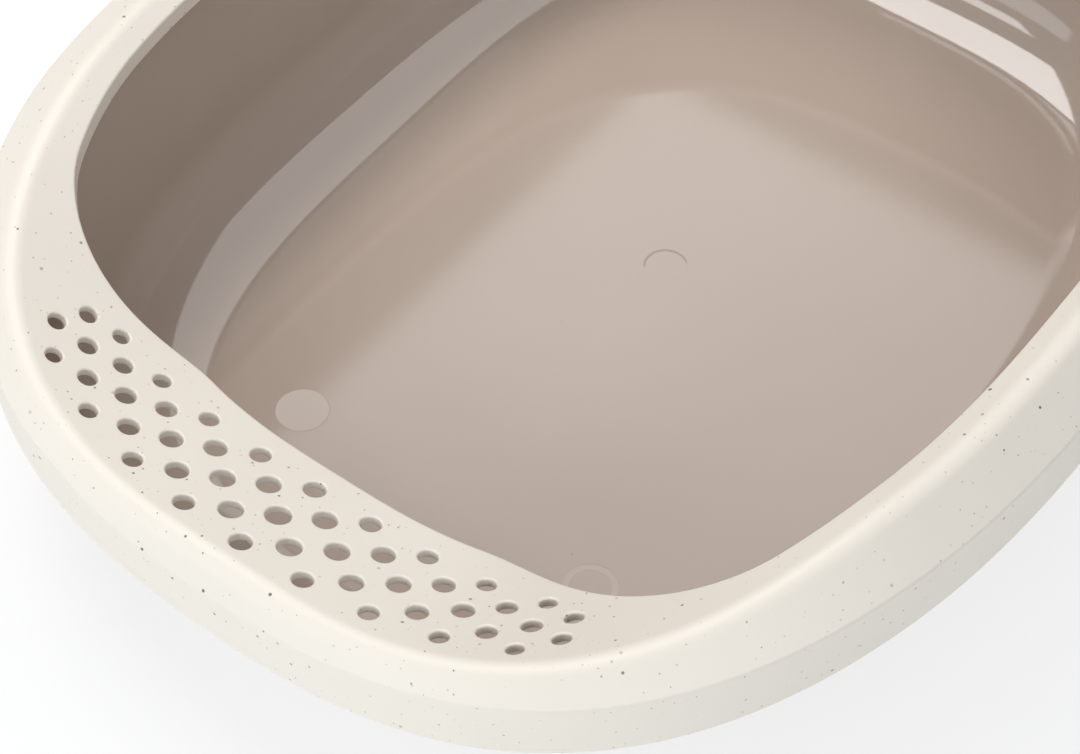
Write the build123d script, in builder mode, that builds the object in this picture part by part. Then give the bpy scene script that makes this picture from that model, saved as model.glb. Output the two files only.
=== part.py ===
from build123d import *

import os
from math import copysign, cos, radians, sin, tan

# Open litter box: a deep pan and a lift-off rim with a sieve step at the low front entry.
# Millimetres. Origin at the bottom centre, +Z up, the entry faces -Y, +X is its right side.

os.makedirs("parts", exist_ok=True)

# Overall sizes
overall_length = 500.0
overall_width = 395.0
outline_power = 2.75  # 2 is an ellipse, more is squarer

# Heights of the rim above the ground, at the sides and at the entry
ridge_height = 119.5
ridge_entry_height = 89.0
crease_height = 104.8
crease_entry_height = 78.3
skirt_height = 80.7
skirt_entry_height = 56.1

# Widths across the rim, measured inwards from its crease
bevel_width = 19.2
bevel_entry_width = 7.0
frame_width = 30.0
frame_entry_width = 65.0
skirt_flare = 0.5
top_fall_share = 0.59  # fall of the top face per width, at the sides
top_fall_entry_share = 0.28

# Rim moulding
rim_wall = 3.0
lip_height = 6.7
ridge_radius = 8.0
crease_radius = 2.0
lip_edge_radius = 1.2

# Sieve of the entry step
hole_pitch = 24.5
row_pitch = 8.8
hole_diameter = 8.9
hole_edge = 0.5
row_count = 5
half_steps = 9
row_bow = 15.7
hole_row_offset = 36.4  # crease to the middle row

# Pan moulding
pan_wall = 2.5
pan_fillet = 40.0
wall_entry_offset = 14.5  # crease to the inner face of the pan's wall, at the entry
wall_draft = 3.5  # degrees
wall_entry_draft = 14.0
flange_gap = 6.0  # crease to the flange's outer edge
bead_height = 0.4

# Feet and marks in the floor
foot_height = 1.5
foot_diameter = 20.0
foot_spacing_x = 134.0
front_foot_y = -132.0
rear_foot_y = 152.0
mark_depth = 0.3
gate_diameter = 17.0
gate_y = 10.0

# Fits
seat_clearance = 0.3
lip_clearance = 0.9
overrun = 15.0

# Where the entry's dip, its wide step and its flat slope fade out, in degrees from the front centre
crease_start_angle = 0.0
crease_end_angle = 57.0
ridge_start_angle = 7.0
ridge_end_angle = 60.0
step_start_angle = 16.5
step_end_angle = 47.5
slope_start_angle = 8.5
slope_end_angle = 43.0

# Shape of the sieve's rows, as shares
row_fan_share = 0.015  # how much wider each row is than the one behind it
row_squeeze_share = 0.05  # how much the pitch shortens towards the ends
row_converge_share = 0.38  # how much the rows close up towards the ends
row_tip_share = 0.4  # part of the bow that comes in only near the ends
outer_hole_share = 0.035  # how much smaller the holes are, times the row number squared
end_hole_share = 0.25

# Worked out from the sizes above
crease_half_width = overall_width / 2 - skirt_flare
crease_half_length = overall_length / 2 - skirt_flare
floor_top = foot_height + pan_wall
bend_top = floor_top + pan_fillet
wall_offset = frame_width - rim_wall - lip_clearance

# Directions of the sections and of the pan's outline points, in degrees from the front centre. The
# sections run past both centre planes, where they are trimmed, so that the mirrored halves meet smoothly.
section_step = 9
outline_step = 7.5
section_angles = [section_step * number for number in range(-3, 24)]
outline_angles = [outline_step * number for number in range(25)]
bend_turns = [10 * number for number in range(10)]


def fade(angle, start, end):
    """One up to the start angle, nought from the end angle, smooth between them."""
    share = min(max((abs(angle) - start) / (end - start), 0), 1)
    return 1 - share * share * (3 - 2 * share)


def blend(side, entry, share):
    return side + (entry - side) * share


def crease_point(angle):
    """Point of the rim's outline in a direction, in degrees from the front centre towards +X."""
    across = sin(radians(angle))
    along = -cos(radians(angle))
    width_term = abs(across / crease_half_width) ** outline_power
    length_term = abs(along / crease_half_length) ** outline_power
    reach = (width_term + length_term) ** (-1 / outline_power)
    return Vector(across * reach, along * reach)


def inward(angle):
    """Unit vector square to the outline, towards the inside."""
    point = crease_point(angle)
    across = point.X / crease_half_width
    along = point.Y / crease_half_length
    rise = outline_power - 1
    x = copysign(abs(across) ** rise, across) * crease_half_length
    y = copysign(abs(along) ** rise, along) * crease_half_width
    return Vector(-x, -y).normalized()


def section_plane(angle):
    """Plane square to the outline: its x runs inwards from the crease and its y is the height."""
    direction = inward(angle)
    return Plane(crease_point(angle), x_dir=direction, z_dir=direction.cross(Vector(0, 0, 1)))


def inset(before, corner, after, depth):
    """Corner of the two lines through three points, moved to their right by a depth."""
    first = (corner - before).normalized()
    second = (after - corner).normalized()
    first_side = Vector(first.Y, -first.X)
    second_side = Vector(second.Y, -second.X)
    return corner + (first_side + second_side) * (depth / (1 + first_side.dot(second_side)))


def rim_outline(angle):
    """Outer corners of the rim's section, from the skirt's lower edge to the lip's lower edge."""
    dip = fade(angle, crease_start_angle, crease_end_angle)
    ridge_dip = fade(angle, ridge_start_angle, ridge_end_angle)
    step = fade(angle, step_start_angle, step_end_angle)
    fall = blend(top_fall_share, top_fall_entry_share, fade(angle, slope_start_angle, slope_end_angle))
    bevel = blend(bevel_width, bevel_entry_width, ridge_dip)
    frame = blend(frame_width, frame_entry_width, step)
    ridge = blend(ridge_height, ridge_entry_height, ridge_dip)
    edge = ridge - (frame - bevel) * fall
    return [
        Vector(-skirt_flare, blend(skirt_height, skirt_entry_height, dip)),
        Vector(0, blend(crease_height, crease_entry_height, dip)),
        Vector(bevel, ridge),
        Vector(frame, edge),
        Vector(frame, edge - lip_height),
    ]


def rim_section(angle):
    """Closed corners of the rim's wall, and the radius at each corner."""
    skirt, crease, ridge, edge, lip = rim_outline(angle)
    inner = [
        lip - Vector(rim_wall, 0),
        inset(ridge, edge, lip, rim_wall),
        inset(crease, ridge, edge, rim_wall),
        inset(skirt, crease, ridge, rim_wall),
        skirt + Vector(rim_wall, 0),
    ]
    radii = [0, crease_radius, ridge_radius, lip_edge_radius, 0, 0, 0, ridge_radius - rim_wall, 0, 0]
    return [skirt, crease, ridge, edge, lip] + inner, radii


def roof_line(angle, depth):
    """The rim's bevel and top face, moved down into its underside by a depth: crease, ridge and edge."""
    skirt, crease, ridge, edge, lip = rim_outline(angle)
    return [
        inset(skirt, crease, ridge, depth),
        inset(crease, ridge, edge, depth),
        inset(ridge, edge, lip, depth),
    ]


def height_on(first, second, place):
    """Height of the line through two corners at a distance inwards from the crease."""
    return first.Y + (second.Y - first.Y) * (place - first.X) / (second.X - first.X)


def wall_top(angle):
    """Inner edge of the pan's wall where the rim's underside meets it."""
    place = blend(wall_offset, wall_entry_offset, fade(angle, step_start_angle, step_end_angle))
    crease, ridge, edge = roof_line(angle, rim_wall + seat_clearance)
    return Vector(place, height_on(ridge, edge, place))


def wall_place(angle, height, depth):
    """Distance inwards from the crease to the pan's wall at a height, moved outwards by a depth."""
    step = fade(angle, step_start_angle, step_end_angle)
    draft = radians(blend(wall_draft, wall_entry_draft, step))
    top = wall_top(angle)
    foot_of_wall = top.X + (top.Y - floor_top) * tan(draft)
    centre = foot_of_wall + pan_fillet * (1 - sin(draft)) / cos(draft)
    radius = pan_fillet + depth
    rise = floor_top + pan_fillet - height
    if rise > radius * sin(draft):
        return centre - (max(radius * radius - rise * rise, 0)) ** 0.5
    return top.X + (top.Y - height) * tan(draft) - depth / cos(draft)


def pan_outline(height, depth):
    """Points of the pan's level outline, all the way round."""
    right = []
    for angle in outline_angles:
        point = crease_point(angle) + inward(angle) * wall_place(angle, height, depth)
        right.append((point.X, point.Y))
    left = [(-x, y) for x, y in reversed(right[1:-1])]
    return right + left


def pan_block(depth):
    """Solid inside the pan's walls, moved outwards by a depth: the bend at the floor, then straight sides."""
    bend = [bend_top - (pan_fillet + depth) * cos(radians(turn)) for turn in bend_turns]
    sides = [bend_top, ridge_height + overrun]
    with BuildPart() as block:
        for heights, straight in ((bend, False), (sides, True)):
            for height in heights:
                with BuildSketch(Plane.XY.offset(height)):
                    with BuildLine():
                        Spline(*pan_outline(height, depth), periodic=True)
                    make_face()
            loft(ruled=straight)
    return block.part


def right_run(section):
    """Solid through the sections of the right-hand side, a little past the centre plane at both ends."""
    with BuildPart() as run:
        for angle in section_angles:
            corners, radii = section(angle)
            with BuildSketch(section_plane(angle)):
                with BuildLine():
                    FilletPolyline(*[(corner.X, corner.Y) for corner in corners], radius=radii, close=True)
                make_face()
        loft()
    return run.part


def ring(section):
    """Closed ring through the sections square to the outline; both halves are alike."""
    with BuildPart() as whole:
        add(right_run(section))
        split(bisect_by=Plane.YZ, keep=Keep.TOP)
        mirror(about=Plane.YZ)
    return whole.part


def trim_section(angle):
    """Space above the pan's wall, down to the clearance under the rim's top face."""
    crease, ridge, edge = roof_line(angle, rim_wall + seat_clearance)
    outside = -overrun
    inside = wall_top(angle).X + overrun
    top = ridge_height + 3 * overrun
    corners = [
        Vector(outside, height_on(ridge, edge, outside)),
        Vector(outside, top),
        Vector(inside, top),
        Vector(inside, height_on(ridge, edge, inside)),
    ]
    return corners, [0] * 4


def flange_section(angle):
    """Roof-shaped flange under the rim, sunk into the middle of the pan's wall."""
    upper_depth = rim_wall + seat_clearance + bead_height
    upper = roof_line(angle, upper_depth)
    lower = roof_line(angle, upper_depth + pan_wall)
    upper_radius = ridge_radius - upper_depth
    lower_radius = upper_radius - pan_wall
    inside = wall_top(angle).X - pan_wall / 2
    corners = [
        Vector(flange_gap, height_on(lower[0], lower[1], flange_gap)),
        Vector(flange_gap, height_on(upper[0], upper[1], flange_gap)),
        upper[1],
        Vector(inside, height_on(upper[1], upper[2], inside)),
        Vector(inside, height_on(lower[1], lower[2], inside)),
        lower[1],
    ]
    return corners, [0, 0, upper_radius, 0, 0, lower_radius]


def sieve_places():
    """Plan place and diameter of each hole on the centre plane and to the right of it, row by row."""
    middle = crease_half_length - hole_row_offset
    for number in range(row_count):
        row = number - (row_count - 1) / 2
        for step in range(number % 2, half_steps + 1, 2):
            along = step / half_steps
            pitch = hole_pitch / 2 * (1 + row_fan_share * row - row_squeeze_share * along**2)
            bow = row_bow * ((1 - row_tip_share) * along**2 + row_tip_share * along**4)
            y = bow - middle - row_pitch * row * (1 - row_converge_share * along**2)
            size = (1 - outer_hole_share * row**2) * (1 - end_hole_share * abs(along))
            yield step * pitch, y, hole_diameter * size


# Pan: a drafted tub with a large fillet, a seat bead and a flange that follow the rim's dip
tub = pan_block(pan_wall)
hollow = pan_block(0)
headroom = ring(trim_section)
flange = ring(flange_section)

with BuildPart() as pan:
    add(tub)
    add(hollow, mode=Mode.SUBTRACT)
    add(headroom, mode=Mode.SUBTRACT)
    add(flange)
    foot_places = [
        (side * foot_spacing_x / 2, y) for side in (-1, 1) for y in (front_foot_y, rear_foot_y)
    ]
    with BuildSketch():
        with Locations(*foot_places):
            Circle(foot_diameter / 2)
    extrude(amount=foot_height + pan_wall / 2)
    with BuildSketch(Plane.XY.offset(floor_top)):
        with Locations(*foot_places):
            Circle(foot_diameter / 2)
        with Locations((0, gate_y)):
            Circle(gate_diameter / 2)
    extrude(amount=-mark_depth, mode=Mode.SUBTRACT)

pan.part.label = "pan"
export_step(pan.part, "parts/pan.step")

# Rim: one moulding with its skirt, bevel, top face, sieve step and lip. The holes of its right-hand
# side are punched square to the top face, before that side is trimmed and mirrored.
frame = right_run(rim_section)

with BuildPart() as punches:
    for x, y, diameter in sieve_places():
        crossings = frame.find_intersection_points(Axis((x, y, 0), (0, 0, 1)))
        point, normal = max(crossings, key=lambda crossing: crossing[0].Z)
        radius = diameter / 2
        with Locations(Plane(point, z_dir=normal)):
            Cylinder(radius, 2 * rim_wall, align=(Align.CENTER, Align.CENTER, Align.MAX))
            Cone(radius, radius + 2 * hole_edge, 2 * hole_edge)

with BuildPart() as rim:
    add(frame)
    add(punches.part, mode=Mode.SUBTRACT)
    split(bisect_by=Plane.YZ, keep=Keep.TOP)
    mirror(about=Plane.YZ)

rim.part.label = "rim"
export_step(rim.part, "parts/rim.step")
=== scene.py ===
# %% [markdown]
# # A litter box with a lift-off sieve rim
# The real thing is two injection mouldings: a deep glossy pan, and a speckled cream frame that sits over
# the pan's edge. The frame dips at the front, where it widens into a step full of sieve holes.
# The imported model is the fixed frame of this scene. It says where everything is, so we load it first.

# %% Load the frame
from math import atan2, cos, degrees, pi, radians, sin, tan

import bmesh
import bpy
from mathutils import Euler, Matrix, Vector
from mathutils.bvhtree import BVHTree


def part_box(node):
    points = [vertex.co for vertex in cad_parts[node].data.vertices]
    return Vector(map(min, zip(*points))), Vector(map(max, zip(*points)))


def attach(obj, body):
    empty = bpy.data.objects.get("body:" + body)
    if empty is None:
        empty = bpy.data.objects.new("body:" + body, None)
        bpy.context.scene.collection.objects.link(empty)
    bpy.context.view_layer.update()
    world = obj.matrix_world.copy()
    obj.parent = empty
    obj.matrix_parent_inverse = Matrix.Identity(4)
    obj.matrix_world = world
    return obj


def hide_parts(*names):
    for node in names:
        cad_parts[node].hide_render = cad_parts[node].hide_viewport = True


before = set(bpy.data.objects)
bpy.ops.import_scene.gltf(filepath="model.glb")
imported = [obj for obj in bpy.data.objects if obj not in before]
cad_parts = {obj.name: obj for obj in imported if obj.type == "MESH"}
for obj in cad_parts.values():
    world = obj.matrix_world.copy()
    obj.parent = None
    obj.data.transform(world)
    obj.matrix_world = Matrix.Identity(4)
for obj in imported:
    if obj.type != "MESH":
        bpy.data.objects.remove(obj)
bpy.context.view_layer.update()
scene = bpy.context.scene
scene.view_settings.view_transform = "Standard"
mm = 0.001

# %% [markdown]
# ## The camera
# The photograph looks down into the box from the front right, close enough that the rim runs out of the
# picture. Such a view is a place, a direction and a focal length. The direction is given by how far the
# camera has walked round the box and how high it has climbed, which is easier to read than a matrix.

# %% Camera
camera_place = Vector((0.3446, -0.5299, 0.7071))
camera_azimuth = radians(37.0)
camera_elevation = radians(50.4)
camera_data = bpy.data.cameras.new("camera")
camera_data.sensor_width = 36
camera_data.lens = 80
camera_data.clip_start = 0.01
camera = bpy.data.objects.new("camera", camera_data)
camera.location = camera_place
camera.rotation_euler = Euler((pi / 2 - camera_elevation, 0, camera_azimuth))
scene.collection.objects.link(camera)
scene.camera = camera
print("camera", round(camera_place.length, 2), "m from the origin")

# %% [markdown]
# ## One outline for both mouldings
# Seen from above, the rim's outer crease is a superellipse: an ellipse whose power is a little over 2, so
# that its sides are flatter and its corners fuller. Everything else is measured square to that outline,
# inwards from the crease. A point of the box is then three things: a direction from the front centre in
# degrees, a distance inwards and a height.

# %% Outline
rim_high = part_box("rim")[1]
skirt_flare = 0.5 * mm
crease_half_width = rim_high.x - skirt_flare
crease_half_length = rim_high.y - skirt_flare
outline_power = 2.75


def signed_power(value, power):
    """The power of a value's size, with the value's sign."""
    return abs(value) ** power * (1 if value >= 0 else -1)


def outline_place(angle, inwards, height):
    """The point at a distance inwards from the crease, in a direction in degrees from the front centre."""
    across = sin(radians(angle))
    along = -cos(radians(angle))
    width_term = abs(across / crease_half_width) ** outline_power
    length_term = abs(along / crease_half_length) ** outline_power
    reach = (width_term + length_term) ** (-1 / outline_power)
    crease = Vector((across * reach, along * reach, 0))
    normal_x = signed_power(crease.x / crease_half_width, outline_power - 1) / crease_half_width
    normal_y = signed_power(crease.y / crease_half_length, outline_power - 1) / crease_half_length
    return crease - Vector((normal_x, normal_y, 0)).normalized() * inwards + Vector((0, 0, height))


print("crease at the corner", [round(value / mm) for value in outline_place(45, 0, 0)])

# %% [markdown]
# ## How the section changes on its way round
# At the sides the rim is narrow and high. At the entry it is low and wide. Each size has a value at the
# sides and a value at the entry, and is blended between them with the smooth S-curve that animators call
# ease-in-ease-out, so that no kink shows in the highlights. The crease, the ridge, the step's width and
# its slope each fade over their own range of angles.

# %% Rim sizes
ridge_heights = (119.5 * mm, 89.0 * mm)
crease_heights = (104.8 * mm, 78.3 * mm)
skirt_heights = (80.7 * mm, 56.1 * mm)
bevel_widths = (19.2 * mm, 7.0 * mm)
frame_widths = (30.0 * mm, 65.0 * mm)
fall_shares = (0.59, 0.28)
rim_wall = 3.0 * mm
lip_height = 6.7 * mm
crease_angles = (0, 57)
ridge_angles = (7, 60)
step_angles = (16.5, 47.5)
slope_angles = (8.5, 43)


def ease(angle, angles):
    """One up to the first angle, nought from the second one, smooth between them."""
    start, end = angles
    turn = min(angle, 360 - angle)
    share = min(max((turn - start) / (end - start), 0), 1)
    return 1 - share * share * (3 - 2 * share)


def blend(sizes, share):
    """Between a size's value at the sides and its value at the entry."""
    side, entry = sizes
    return side + (entry - side) * share


def rim_corners(angle):
    """Outer corners of the rim's section as (inwards, height): skirt, crease, ridge, inner edge, lip."""
    bevel = blend(bevel_widths, ease(angle, ridge_angles))
    width = blend(frame_widths, ease(angle, step_angles))
    ridge = blend(ridge_heights, ease(angle, ridge_angles))
    edge = ridge - (width - bevel) * blend(fall_shares, ease(angle, slope_angles))
    dip = ease(angle, crease_angles)
    return [
        Vector((-skirt_flare, blend(skirt_heights, dip))),
        Vector((0, blend(crease_heights, dip))),
        Vector((bevel, ridge)),
        Vector((width, edge)),
        Vector((width, edge - lip_height)),
    ]


step_width, side_width = [rim_corners(angle)[3].x for angle in (0, 90)]
print("step width", round(step_width / mm), "mm, side width", round(side_width / mm), "mm")

# %% [markdown]
# ## Walls have a thickness
# The underside of a moulding follows its outside one wall thickness away. The corners of the underside
# are found by moving two neighbouring lines sideways and taking the point where they meet.

# %% Inset corners
def inset(before, corner, after, depth):
    """The corner of two lines, moved to their right by a depth."""
    first = (corner - before).normalized()
    second = (after - corner).normalized()
    first_side = Vector((first.y, -first.x))
    second_side = Vector((second.y, -second.x))
    return corner + (first_side + second_side) * (depth / (1 + first_side.dot(second_side)))


def roof_line(angle, depth):
    """The rim's crease, ridge and inner edge, sunk into its underside by a depth."""
    skirt, crease, ridge, edge, lip = rim_corners(angle)
    return [
        inset(skirt, crease, ridge, depth),
        inset(crease, ridge, edge, depth),
        inset(ridge, edge, lip, depth),
    ]


def on_line(first, second, place):
    """The point of a line at a distance inwards from the crease."""
    return first.lerp(second, (place - first.x) / (second.x - first.x))


ridge_top, ridge_underside = [roof_line(90, depth)[1].y for depth in (0, rim_wall)]
print("ridge", round(ridge_top / mm, 1), "mm, its underside", round(ridge_underside / mm, 1), "mm")

# %% [markdown]
# ## Rounded profiles
# A moulding has no knife edges: each corner of a section is an arc. The helper takes a place, a radius, a
# number of arc steps, and how many points to add on the way to the next corner. It always gives back the
# same number of points, and that matters, because one station is joined point by point to the next.

# %% Rounded profile
def arc_points(before, corner, after, radius, steps):
    """Points of the arc that rounds a corner, from the side of the corner before it."""
    if steps == 0:
        return [corner]
    to_before = (before - corner).normalized()
    to_after = (after - corner).normalized()
    half = to_before.angle(to_after) / 2
    centre = corner + (to_before + to_after).normalized() * (radius / sin(half))
    start = corner + to_before * (radius / tan(half)) - centre
    turn = pi - 2 * half
    side = 1 if start.y * to_before.x > start.x * to_before.y else -1
    return [centre + Matrix.Rotation(side * turn * step / steps, 2) @ start for step in range(steps + 1)]


def rounded(corners):
    """Points of a section, from corners given as (place, radius, arc steps, points added after it)."""
    count = len(corners)
    places = [corner[0] for corner in corners]
    arcs = [
        arc_points(places[number - 1], place, places[(number + 1) % count], radius, steps)
        for number, (place, radius, steps, added) in enumerate(corners)
    ]
    points = []
    for number, arc in enumerate(arcs):
        following = arcs[(number + 1) % count][0]
        added = corners[number][3]
        points += arc
        points += [arc[-1].lerp(following, (step + 1) / (added + 1)) for step in range(added)]
    return points


sample = arc_points(Vector((1, 0)), Vector((0, 0)), Vector((0, 1)), radius=0.1, steps=4)
print("a rounded square corner starts at", [round(value, 2) for value in sample[0]])

# %% [markdown]
# ## Spinning a profile into a ring
# A ring that changes on its way round can still be made with the spin tool. We spin a row of vertices
# once round the Z axis, which gives a plain flat ring with the right faces, and then move every vertex to
# its real place: its angle round the axis says which station it belongs to, and its distance from the
# axis says which profile point it is. The spin makes the faces and the formula makes the form.

# %% Ring maker
station_count = 360
station_angle = 360 / station_count


def spin_round(bm, geometry, steps):
    """Spins vertices and edges once round the Z axis and joins the last step to the first."""
    bmesh.ops.spin(
        bm, geom=geometry, cent=(0, 0, 0), axis=(0, 0, 1), angle=2 * pi, steps=steps, use_merge=True
    )


def ring_mesh(profile_at, closed):
    """A bmesh ring, whose section at each angle is the points of profile_at(angle)."""
    bm = bmesh.new()
    row = [bm.verts.new((number + 1, 0, 0)) for number in range(len(profile_at(0)))]
    edges = [bm.edges.new(pair) for pair in zip(row, row[1:])]
    if closed:
        edges.append(bm.edges.new((row[-1], row[0])))
    spin_round(bm, row + edges, station_count)
    profiles = [profile_at(station * station_angle) for station in range(station_count)]
    for vert in bm.verts:
        number = round(vert.co.xy.length) - 1
        station = round(degrees(atan2(vert.co.y, vert.co.x)) / station_angle) % station_count
        point = profiles[station][number]
        vert.co = outline_place(station * station_angle, point.x, point.y)
    return bm


print("a ring has", station_count, "stations")

# %% [markdown]
# ## From a bmesh to a piece
# Every piece ends the same way: its faces are turned outwards, it is shaded smooth except at real edges,
# and it is told which body it rides on and which material it wears.
# A Weighted Normal modifier lets the large faces set the shading, so that flats stay flat right up to
# their rounded edges. Without it, every small radius would stain the flat beside it.

# %% Piece maker
sharp_angle = radians(50)


def make_piece(bm, name, body, material):
    """Makes a bmesh an object of the scene, which rides on a body and has a material."""
    bmesh.ops.recalc_face_normals(bm, faces=bm.faces[:])
    mesh = bpy.data.meshes.new(name)
    bm.to_mesh(mesh)
    bm.free()
    mesh.materials.append(material)
    piece = bpy.data.objects.new(name, mesh)
    scene.collection.objects.link(piece)
    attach(piece, body)
    return piece


def shade(piece):
    """Shades a piece smooth, but keeps its real edges sharp."""
    for polygon in piece.data.polygons:
        polygon.use_smooth = True
    piece.data.set_sharp_from_angle(angle=sharp_angle)
    weighted = piece.modifiers.new("even_shading", "WEIGHTED_NORMAL")
    weighted.keep_sharp = True
    print(piece.name, "has", len(piece.data.polygons), "faces")


print("edges stay sharp over", round(degrees(sharp_angle)), "degrees")

# %% [markdown]
# ## Tools that cut and add
# Holes, marks and feet are all turned shapes, so one helper spins each tool from a half profile of
# (radius, height) points that starts and ends on the axis. The tools stand where we put them, and one
# Boolean works a whole set of them into the moulding. Its result is kept as the piece's own mesh.

# %% Turned tools
turn_steps = 40
touching = 0.001 * mm


def add_turned(tools, profile, place, normal):
    """Spins a profile and adds it to the tools, standing at a place along a normal."""
    bm = bmesh.new()
    verts = [bm.verts.new((radius, 0, height)) for radius, height in profile]
    edges = [bm.edges.new(pair) for pair in zip(verts, verts[1:])]
    spin_round(bm, verts + edges, turn_steps)
    bmesh.ops.remove_doubles(bm, verts=bm.verts[:], dist=touching)
    bmesh.ops.recalc_face_normals(bm, faces=bm.faces[:])
    stand = Matrix.Translation(place) @ normal.to_track_quat("Z", "Y").to_matrix().to_4x4()
    bmesh.ops.transform(bm, matrix=stand, verts=bm.verts[:])
    mesh = bpy.data.meshes.new("tool")
    bm.to_mesh(mesh)
    bm.free()
    tools.from_mesh(mesh)
    bpy.data.meshes.remove(mesh)


def drop_slivers(mesh):
    """Removes the faces without area that a Boolean leaves where a tool's corner meets an edge exactly."""
    bm = bmesh.new()
    bm.from_mesh(mesh)
    bmesh.ops.dissolve_degenerate(bm, dist=touching, edges=bm.edges[:])
    bm.to_mesh(mesh)
    bm.free()


def work_in(piece, tools, operation):
    """Applies a Boolean of all the tools to a piece."""
    mesh = bpy.data.meshes.new("tools")
    tools.to_mesh(mesh)
    tools.free()
    tool = bpy.data.objects.new("tools", mesh)
    scene.collection.objects.link(tool)
    boolean = piece.modifiers.new("work", "BOOLEAN")
    boolean.operation = operation
    boolean.solver = "EXACT"
    boolean.object = tool
    worked = piece.evaluated_get(bpy.context.evaluated_depsgraph_get())
    old = piece.data
    piece.data = bpy.data.meshes.new_from_object(worked)
    piece.data.name = piece.name
    piece.modifiers.clear()
    bpy.data.objects.remove(tool)
    bpy.data.meshes.remove(mesh)
    bpy.data.meshes.remove(old)
    drop_slivers(piece.data)


print("a turned tool has", turn_steps, "sides")

# %% [markdown]
# ## Grain in every moulding
# Both plastics carry a trace of the mould: a grain too fine to see, which only breaks up highlights, and
# a slow cloudiness of gloss and colour. Both materials use it, so it is a node group with named inputs.
# It reads Object coordinates, and every piece's object stays at the origin, so the grain never slides.

# %% Grain group
noise_middle = 0.5


def new_group(name, inputs, outputs):
    """A node group with named numbers in and out. Returns it with its input node and its output node."""
    group = bpy.data.node_groups.new(name, "ShaderNodeTree")
    for title, value in inputs.items():
        socket = group.interface.new_socket(title, in_out="INPUT", socket_type="NodeSocketFloat")
        socket.default_value = value
    for title in outputs:
        group.interface.new_socket(title, in_out="OUTPUT", socket_type="NodeSocketFloat")
    return group, group.nodes.new("NodeGroupInput"), group.nodes.new("NodeGroupOutput")


def math_node(tree, operation, first, second):
    """A Math node of two inputs, each a number or another node's output."""
    node = tree.nodes.new("ShaderNodeMath")
    node.operation = operation
    for socket, value in zip(node.inputs, (first, second)):
        if isinstance(value, bpy.types.NodeSocket):
            tree.links.new(value, socket)
        else:
            socket.default_value = value
    return node.outputs[0]


def make_grain_group():
    group, start, end = new_group(
        "moulded_grain",
        {"Size": 1 * mm, "Cloud Size": 70 * mm, "Roughness": 0.4, "Variation": 0.05},
        ["Height", "Roughness", "Cloud"],
    )
    place = group.nodes.new("ShaderNodeTexCoord").outputs["Object"]
    noises = {}
    for title, detail in (("Size", 3), ("Cloud Size", 4)):
        noise = group.nodes.new("ShaderNodeTexNoise")
        noise.inputs["Detail"].default_value = detail
        group.links.new(place, noise.inputs["Vector"])
        group.links.new(math_node(group, "DIVIDE", 1.0, start.outputs[title]), noise.inputs["Scale"])
        noises[title] = noise.outputs["Fac"]
    offset = math_node(group, "SUBTRACT", noises["Cloud Size"], noise_middle)
    change = math_node(group, "MULTIPLY", offset, start.outputs["Variation"])
    group.links.new(noises["Size"], end.inputs["Height"])
    group.links.new(math_node(group, "ADD", start.outputs["Roughness"], change), end.inputs["Roughness"])
    group.links.new(noises["Cloud Size"], end.inputs["Cloud"])
    return group


grain_group = make_grain_group()
print("node group", grain_group.name)

# %% [markdown]
# ## Specks
# A Voronoi texture scatters one point in each cell of a grid. Where the distance to that point is small
# there is a dot. Each cell also has a random colour, which decides whether the cell has a speck at all,
# how big it is and how dark, so the scatter doesn't look like a pattern.

# %% Speck group
faintest_speck = 0.35


def make_speck_group():
    group, start, end = new_group("specks", {"Spacing": 5 * mm, "Size": 0.4 * mm, "Share": 0.5}, ["Mask"])
    place = group.nodes.new("ShaderNodeTexCoord").outputs["Object"]
    cells = group.nodes.new("ShaderNodeTexVoronoi")
    group.links.new(place, cells.inputs["Vector"])
    group.links.new(math_node(group, "DIVIDE", 1.0, start.outputs["Spacing"]), cells.inputs["Scale"])
    split = group.nodes.new("ShaderNodeSeparateColor")
    group.links.new(cells.outputs["Color"], split.inputs[0])
    distance = math_node(group, "MULTIPLY", cells.outputs["Distance"], start.outputs["Spacing"])
    size = math_node(group, "MULTIPLY", split.outputs["Red"], start.outputs["Size"])
    dot = math_node(group, "LESS_THAN", distance, size)
    chosen = math_node(group, "LESS_THAN", split.outputs["Green"], start.outputs["Share"])
    depth = math_node(group, "MAXIMUM", split.outputs["Blue"], faintest_speck)
    present = math_node(group, "MULTIPLY", dot, chosen)
    group.links.new(math_node(group, "MULTIPLY", present, depth), end.inputs["Mask"])
    return group


speck_group = make_speck_group()
print("node group", speck_group.name)

# %% [markdown]
# ## Colours and a base material
# Colours are written as they look on screen, from 0 to 255, and made linear for the renderer. Both
# plastics start from the same Principled material, with the grain on its roughness and its normal.

# %% Base material
def colour(red, green, blue):
    """A colour on screen as linear red, green, blue and alpha, by the sRGB standard's curve."""
    linear = []
    for value in (red / 255, green / 255, blue / 255):
        linear.append(value / 12.92 if value <= 0.04045 else ((value + 0.055) / 1.055) ** 2.4)
    return linear + [1]


def place_group(tree, group, values):
    """Places a node group in a material with its own values and gives back its outputs."""
    node = tree.nodes.new("ShaderNodeGroup")
    node.node_tree = group
    for name, value in values.items():
        node.inputs[name].default_value = value
    return node.outputs


def mix_colours(tree, mask, first, second):
    """Mixes two colours by a mask, each of them a colour or another node's output."""
    node = tree.nodes.new("ShaderNodeMix")
    node.data_type = "RGBA"
    tree.links.new(mask, node.inputs["Factor"])
    for socket, value in ((node.inputs["A"], first), (node.inputs["B"], second)):
        if isinstance(value, bpy.types.NodeSocket):
            tree.links.new(value, socket)
        else:
            socket.default_value = value
    return node.outputs["Result"]


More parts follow.
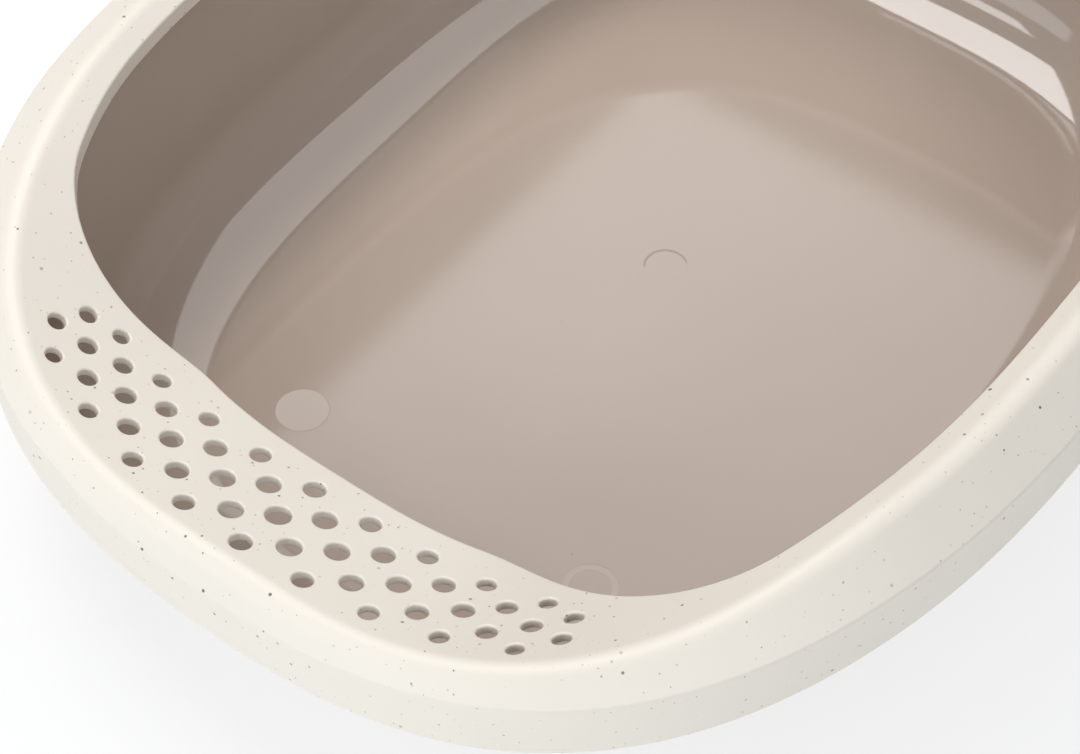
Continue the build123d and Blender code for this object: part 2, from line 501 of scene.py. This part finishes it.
def new_plastic(name, grain_values, grain_height):
    """A Principled material with grain. Returns it with its tree, its shader and the grain's outputs."""
    material = bpy.data.materials.new(name)
    material.use_nodes = True
    tree = material.node_tree
    shader = tree.nodes["Principled BSDF"]
    grain = place_group(tree, grain_group, grain_values)
    bump = tree.nodes.new("ShaderNodeBump")
    bump.inputs["Distance"].default_value = grain_height
    tree.links.new(grain["Height"], bump.inputs["Height"])
    tree.links.new(bump.outputs["Normal"], shader.inputs["Normal"])
    return material, tree, shader, grain


print("a middle grey is", round(colour(128, 128, 128)[0], 3), "in linear light")

# %% [markdown]
# ## The rim's finish
# Cream plastic with a satin skin, off a lightly textured mould. The husk-like specks come in two sizes:
# a few clear ones, at most 1.3 mm across, and many faint ones that only show close up.

# %% Rim plastic
rim_grain = {"Size": 0.7 * mm, "Cloud Size": 70 * mm, "Roughness": 0.45, "Variation": 0.08}
rim_grain_height = 0.008 * mm
speckled_cream, tree, shader, grain = new_plastic("speckled_cream", rim_grain, rim_grain_height)
tree.links.new(grain["Roughness"], shader.inputs["Roughness"])
cream = mix_colours(tree, grain["Cloud"], colour(229, 220, 208), colour(235, 227, 216))
faint_specks = place_group(tree, speck_group, {"Spacing": 2.6 * mm, "Size": 0.4 * mm, "Share": 0.75})
clear_specks = place_group(tree, speck_group, {"Spacing": 4.4 * mm, "Size": 0.65 * mm, "Share": 0.6})
speckled = mix_colours(tree, faint_specks["Mask"], cream, colour(150, 140, 128))
speckled = mix_colours(tree, clear_specks["Mask"], speckled, colour(96, 86, 78))
tree.links.new(speckled, shader.inputs["Base Color"])
print("material", speckled_cream.name)

# %% [markdown]
# ## Matte discs
# Where the pan's feet are moulded, the floor shows a round mark. The left front one is the most worn: it
# doesn't mirror the walls as the polished floor round it does, so it looks like a pale matte disc. The
# right one is matte only along its edge, as a ring. Their matte is real wear; their paler colour is painted
# reflection, standing in for the bright surroundings that a matte disc scatters. The mask says whether a
# point lies between the mark's hollow and its radius, times how matte the mark is.

# %% Disc group
def make_disc_group():
    group, start, end = new_group(
        "round_mark", {"X": 67 * mm, "Y": 0.0, "Hollow": 0.0, "Radius": 10 * mm, "Strength": 1.0}, ["Mask"]
    )
    split = group.nodes.new("ShaderNodeSeparateXYZ")
    group.links.new(group.nodes.new("ShaderNodeTexCoord").outputs["Object"], split.inputs[0])
    offsets = [math_node(group, "SUBTRACT", split.outputs[axis], start.outputs[axis]) for axis in ("X", "Y")]
    squares = [math_node(group, "MULTIPLY", offset, offset) for offset in offsets]
    reach = math_node(group, "SQRT", math_node(group, "ADD", *squares), 0.0)
    within = math_node(group, "LESS_THAN", reach, start.outputs["Radius"])
    beyond = math_node(group, "GREATER_THAN", reach, start.outputs["Hollow"])
    shape = math_node(group, "MULTIPLY", within, beyond)
    group.links.new(math_node(group, "MULTIPLY", shape, start.outputs["Strength"]), end.inputs["Mask"])
    return group


disc_group = make_disc_group()
print("node group", disc_group.name)

# %% [markdown]
# ## The pan's finish
# The pan is the same kind of plastic out of a polished mould: taupe, glossy enough to mirror the lamps in
# its bends, with hardly any grain. Its roughness is low and a little uneven, because polish never is even.

# %% Pan plastic
foot_x = 67 * mm
foot_ys = (-132 * mm, 152 * mm)
foot_radius = 10 * mm
gate_y = 10 * mm
gate_radius = 8.5 * mm
ring_hollow = 7.8 * mm
matte_roughness = 0.5
left_mark = {"X": -foot_x, "Y": foot_ys[0], "Radius": foot_radius, "Strength": 1.0}
right_mark = {"X": foot_x, "Y": foot_ys[0], "Hollow": ring_hollow, "Radius": foot_radius, "Strength": 0.7}
pan_grain = {"Size": 4 * mm, "Cloud Size": 90 * mm, "Roughness": 0.07, "Variation": 0.03}
pan_grain_height = 0.003 * mm
polished_taupe, tree, shader, grain = new_plastic("polished_taupe", pan_grain, pan_grain_height)
discs = [place_group(tree, disc_group, values)["Mask"] for values in (left_mark, right_mark)]
worn_with_painted_reflection = math_node(tree, "ADD", *discs)
matte = math_node(tree, "MULTIPLY", worn_with_painted_reflection, matte_roughness)
tree.links.new(math_node(tree, "MAXIMUM", grain["Roughness"], matte), shader.inputs["Roughness"])
taupe = mix_colours(tree, grain["Cloud"], colour(173, 156, 144), colour(179, 162, 149))
# Paler colour in the foot marks: painted reflection, standing in for the bright surroundings that the matte
# marks scatter.
taupe = mix_colours(tree, worn_with_painted_reflection, taupe, colour(191, 178, 167))
dust = place_group(tree, speck_group, {"Spacing": 14 * mm, "Size": 0.5 * mm, "Share": 0.3})
tree.links.new(mix_colours(tree, dust["Mask"], taupe, colour(96, 84, 74)), shader.inputs["Base Color"])
print("material", polished_taupe.name)

# %% [markdown]
# ## The rim as a ring
# The section runs up the skirt, over the crease, up the bevel, over the ridge, down the top face and
# round the lip, and back underneath, always one wall thickness away. Every corner gets its own radius:
# crisp at the crease, generous at the ridge where paws and hands rest. The top face gets many points,
# because the sieve holes need a well-shaped surface to stand on.

# %% Rim ring
crease_radius = 2.0 * mm
ridge_radius = 8.0 * mm
edge_radius = 1.2 * mm
rim_edge_radius = 0.7 * mm


def rim_profile(angle):
    """Points of the rim's section at an angle, up the skirt and back underneath."""
    skirt, crease, ridge, edge, lip = rim_corners(angle)
    under_crease, under_ridge, under_edge = roof_line(angle, rim_wall)
    return rounded([
        (skirt, rim_edge_radius, 3, 3),
        (crease, crease_radius, 5, 3),
        (ridge, ridge_radius, 12, 10),
        (edge, edge_radius, 5, 1),
        (lip, rim_edge_radius, 3, 0),
        (lip - Vector((rim_wall, 0)), rim_edge_radius, 3, 0),
        (under_edge, 0, 0, 5),
        (under_ridge, ridge_radius - rim_wall, 6, 2),
        (under_crease, 0, 0, 2),
        (skirt + Vector((rim_wall, 0)), rim_edge_radius, 3, 0),
    ])


rim_ring = ring_mesh(rim_profile, closed=True)
rim_surface = BVHTree.FromBMesh(rim_ring)
rim = make_piece(rim_ring, "rim_frame", "rim", speckled_cream)
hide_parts("rim")
print("rim spans", [round(value / mm, 1) for value in rim.dimensions], "mm")

# %% [markdown]
# ## Where the sieve's holes are
# The holes stand in five rows, staggered like bricks. The rows bow with the step, close up towards its
# ends, and the holes get smaller there. A hole's place along its row runs from -1 to 1, and the bow and
# the sizes are simple formulas of it.

# %% Sieve places
hole_pitch = 24.5 * mm
row_pitch = 8.8 * mm
hole_diameter = 8.9 * mm
row_bow = 15.7 * mm
hole_row_offset = 36.4 * mm
half_steps = 9
row_fan_share = 0.015
row_squeeze_share = 0.05
row_converge_share = 0.38
row_tip_share = 0.4
outer_hole_share = 0.035
end_hole_share = 0.25


def sieve_places():
    """Plan place and radius of every hole, row by row from the inside."""
    middle = crease_half_length - hole_row_offset
    for row in range(-2, 3):
        for step in range(-half_steps, half_steps + 1):
            if (step - row) % 2 == 0:
                along = step / half_steps
                pitch = hole_pitch / 2 * (1 + row_fan_share * row - row_squeeze_share * along ** 2)
                bow = row_bow * ((1 - row_tip_share) * along ** 2 + row_tip_share * along ** 4)
                y = bow - middle - row_pitch * row * (1 - row_converge_share * along ** 2)
                size = (1 - outer_hole_share * row ** 2) * (1 - end_hole_share * abs(along))
                yield step * pitch, y, hole_diameter / 2 * size


places = list(sieve_places())
largest_hole = 2 * max(radius for x, y, radius in places)
print(len(places), "sieve holes, the largest", round(largest_hole / mm, 1), "mm across")

# %% [markdown]
# ## Punching the holes
# Each tool is a pin whose top flares out in a quarter round, so that it leaves a soft lip, as the mould
# does. The flare stops a little short of level and runs on as a shallow cone, because a tool that only
# touches a surface leaves a Boolean nothing clear to cut. The top face curves, so four rays from above
# find it round each hole: their mean is where the pin stands, and their slope is how it leans.

# %% Sieve holes
hole_lip = 0.8 * mm
flare_end = radians(74)
flare_steps = 5
flare_run = 0.9 * mm
pin_reach = 2 * rim_wall
ray_height = 1.0
four_ways = ((1, 0), (-1, 0), (0, 1), (0, -1))


def hole_tool(radius):
    """Half profile of a pin with a flared top, its height measured from the top face."""
    turns = [flare_end * step / flare_steps for step in range(flare_steps + 1)]
    flare = [(radius + hole_lip * (1 - cos(turn)), hole_lip * (sin(turn) - 1)) for turn in turns]
    rim_of_cone = (flare[-1][0] + flare_run * sin(flare_end), flare[-1][1] + flare_run * cos(flare_end))
    return [(0, -pin_reach), (radius, -pin_reach)] + flare + [rim_of_cone, (0, pin_reach)]


def top_point(x, y):
    """Where a ray from above meets the rim's top face."""
    return rim_surface.ray_cast(Vector((x, y, ray_height)), Vector((0, 0, -1)))[0]


pins = bmesh.new()
for x, y, radius in places:
    reach = radius + hole_lip
    right, left, back, front = [
        top_point(x + reach * way_x, y + reach * way_y) for way_x, way_y in four_ways
    ]
    lean = (right - left).cross(back - front).normalized()
    add_turned(pins, hole_tool(radius), (right + left + back + front) / 4, lean)
work_in(rim, pins, "DIFFERENCE")
shade(rim)

# %% [markdown]
# ## The pan as one folded section
# The pan's profile starts on the floor, follows the big fillet and the drafted wall up to the rim's
# underside, goes out over the flange like a roof and comes back down outside. Its two flats, inside and
# underneath, are filled afterwards, because a spin would pinch them to a point. The pan keeps a small
# clearance under the rim, so that the rim lifts off.

# %% Pan ring
pan_wall = 2.5 * mm
foot_height = 1.5 * mm
floor_top = foot_height + pan_wall
pan_fillet = 40.0 * mm
fillet_steps = 24
floor_margin = 6.0 * mm
lip_clearance = 0.9 * mm
seat_clearance = 0.3 * mm
bead_height = 0.4 * mm
flange_gap = 6.0 * mm
pan_edge_radius = 0.5 * mm
wall_offsets = (frame_widths[0] - rim_wall - lip_clearance, 14.5 * mm)
wall_drafts = (radians(3.5), radians(14))


def pan_profile(angle):
    """Points of the pan's section at an angle, from the floor inside to the floor's underside."""
    step = ease(angle, step_angles)
    draft = blend(wall_drafts, step)
    slope = tan(draft)
    thickness = pan_wall / cos(draft)
    ridge, edge = roof_line(angle, rim_wall + seat_clearance)[1:]
    top = on_line(ridge, edge, blend(wall_offsets, step))
    flange_depth = rim_wall + seat_clearance + bead_height
    upper = roof_line(angle, flange_depth)
    lower = roof_line(angle, flange_depth + pan_wall)
    outer_top = on_line(lower[1], lower[2], max(top.x - thickness, lower[1].x + touching))
    foot = Vector((top.x + (top.y - floor_top) * slope, floor_top))
    outer_foot = Vector((outer_top.x + (outer_top.y - foot_height) * slope, foot_height))
    flat = Vector((pan_fillet + floor_margin, 0))
    return rounded([
        (foot + flat, 0, 0, 0),
        (foot, pan_fillet, fillet_steps, 8),
        (top, pan_edge_radius, 3, 0),
        (upper[1], ridge_radius - flange_depth, 5, 0),
        (on_line(upper[0], upper[1], flange_gap), 0, 0, 0),
        (on_line(lower[0], lower[1], flange_gap), 0, 0, 0),
        (lower[1], 0, 0, 0),
        (outer_top, 0, 0, 8),
        (outer_foot, pan_fillet + pan_wall, fillet_steps, 0),
        (outer_foot + flat, 0, 0, 0),
    ])


pan_ring = ring_mesh(pan_profile, closed=False)
open_edges = [edge for edge in pan_ring.edges if edge.is_boundary]
bmesh.ops.holes_fill(pan_ring, edges=open_edges, sides=0)
pan = make_piece(pan_ring, "pan_tub", "pan", polished_taupe)
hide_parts("pan")
print("pan spans", [round(value / mm, 1) for value in pan.dimensions], "mm")

# %% [markdown]
# ## Marks in the floor
# A shallow round mark is pressed into the floor over each foot. A fifth one, where the plastic entered the
# mould, stands up a tenth of a millimetre. A mark's edge is an S-curve two millimetres wide. On a polished
# floor even that can show as a thin arc, where the slope mirrors past the lamp that the level floor
# mirrors. The arc lies on the near side of a sunk mark and on the far side of a raised one.

# %% Floor marks
foot_mark_height = -0.03 * mm
gate_mark_height = 0.1 * mm
mark_edge = 1.0 * mm
mark_steps = 8
mark_clear = 0.01 * mm
mark_body = pan_wall / 2


def mark_tool(radius, height):
    """Half profile of a flat disc with an S-curve for its edge. A negative height makes it sunk."""
    side = 1 if height > 0 else -1
    edge = []
    for step in range(mark_steps + 1):
        share = step / mark_steps
        rise = (abs(height) + mark_clear) * (1 + cos(pi * share)) / 2 - mark_clear
        edge.append((radius + mark_edge * (2 * share - 1), side * rise))
    inner_ring = (radius - 3 * mark_edge, height)
    return [(0, height), inner_ring] + edge + [(0, -side * mark_body)]


foot_places = [Vector((side * foot_x, foot_y, floor_top)) for side in (-1, 1) for foot_y in foot_ys]
upright = Vector((0, 0, 1))
stamps = bmesh.new()
for place in foot_places:
    add_turned(stamps, mark_tool(foot_radius, foot_mark_height), place, upright)
work_in(pan, stamps, "DIFFERENCE")
gate = bmesh.new()
add_turned(gate, mark_tool(gate_radius, gate_mark_height), Vector((0, gate_y, floor_top)), upright)
work_in(pan, gate, "UNION")
print(len(foot_places) + 1, "marks")

# %% [markdown]
# ## Feet
# The pan stands on four low round feet. They are turned too, with a rounded edge, and joined on.

# %% Feet
foot_edge_radius = 0.5 * mm
foot_edge_steps = 4
foot_root = foot_height + pan_wall / 2
foot_side = Vector((foot_radius, foot_height))
foot_corner = Vector((foot_radius, 0))
foot_edge = arc_points(foot_side, foot_corner, Vector((0, 0)), foot_edge_radius, foot_edge_steps)
foot_profile = [(0, foot_root), (foot_radius, foot_root)] + [tuple(point) for point in foot_edge] + [(0, 0)]

feet = bmesh.new()
for place in foot_places:
    add_turned(feet, foot_profile, Vector((place.x, place.y, 0)), upright)
work_in(pan, feet, "UNION")
shade(pan)

# %% [markdown]
# ## The floor
# A plain pale floor. To the camera and in reflections it is mostly plain white, as a studio sweep is,
# but a share of it is a real surface, which takes the box's shadow.

# %% Floor
floor_half_size = 4
floor_bm = bmesh.new()
bmesh.ops.create_grid(floor_bm, x_segments=1, y_segments=1, size=floor_half_size)
floor_mesh = bpy.data.meshes.new("floor")
floor_bm.to_mesh(floor_mesh)
floor_bm.free()
floor = bpy.data.objects.new("floor", floor_mesh)
scene.collection.objects.link(floor)

white_share = 0.75
floor_material = bpy.data.materials.new("floor")
floor_material.use_nodes = True
tree = floor_material.node_tree
shader = tree.nodes["Principled BSDF"]
shader.inputs["Base Color"].default_value = colour(250, 250, 250)
shader.inputs["Roughness"].default_value = 0.9
white = tree.nodes.new("ShaderNodeEmission")
rays = tree.nodes.new("ShaderNodeLightPath").outputs
seen = math_node(tree, "MAXIMUM", rays["Is Camera Ray"], rays["Is Glossy Ray"])
mixer = tree.nodes.new("ShaderNodeMixShader")
tree.links.new(math_node(tree, "MULTIPLY", seen, white_share), mixer.inputs[0])
tree.links.new(shader.outputs[0], mixer.inputs[1])
tree.links.new(white.outputs[0], mixer.inputs[2])
tree.links.new(mixer.outputs[0], tree.nodes["Material Output"].inputs["Surface"])
floor_mesh.materials.append(floor_material)
print("floor", floor_mesh.name)

# %% [markdown]
# ## Lamps
# A polished pan shows its lamps, so their places and shapes matter more than their number. How bright a
# softbox looks in the pan is its radiance, and that times pi and its area is its power. Three hang level
# under the ceiling. The key on the left lies as a bright band in the bend at the back. The large one behind
# lies as a grey band in the bend on the left, and its corner as the lighter middle of the floor. The small
# one shows on the back wall. Two panels in front and on the right light the skirt and the bevel. They
# stand where the pan mirrors neither of them towards the camera.

# %% Lamps and world
ceiling = 1.8
panel_aim = Vector((0, 0, 0.05))
cool_white = (0.88, 0.95, 1.0)
world = bpy.data.worlds.new("studio")
scene.world = world
world.use_nodes = True
background = world.node_tree.nodes["Background"]
background.inputs["Color"].default_value = (1, 1, 1, 1)
background.inputs["Strength"].default_value = 0.16


def softbox(name, place, size_x, size_y, radiance):
    """A lamp of a given radiance, which faces straight down."""
    lamp_data = bpy.data.lights.new(name, "AREA")
    lamp_data.shape = "RECTANGLE"
    lamp_data.size = size_x
    lamp_data.size_y = size_y
    lamp_data.energy = radiance * pi * size_x * size_y
    lamp = bpy.data.objects.new(name, lamp_data)
    lamp.location = place
    scene.collection.objects.link(lamp)
    print(name, "softbox of", size_x, "by", size_y, "m, power", round(lamp_data.energy, 1))
    return lamp


def side_panel(name, place, size_x, size_y, radiance):
    """A softbox that faces the box from the side, in a slightly cooler white."""
    lamp = softbox(name, place, size_x, size_y, radiance)
    lamp.rotation_euler = (panel_aim - Vector(place)).to_track_quat("-Z", "Y").to_euler()
    lamp.data.color = cool_white


softbox("key", (-0.85, 0.15, ceiling), size_x=0.6, size_y=1.1, radiance=10)
softbox("overhead", (0.14, 1.25, ceiling), size_x=2.52, size_y=0.9, radiance=2.7)
softbox("front_small", (-0.95, -1.35, ceiling), size_x=0.45, size_y=0.45, radiance=7)
side_panel("front_panel", (-0.3, -1.7, 0.75), size_x=2.4, size_y=0.9, radiance=2.5)
side_panel("right_panel", (1.6, -1.0, 1.25), size_x=2.0, size_y=0.6, radiance=3.8)
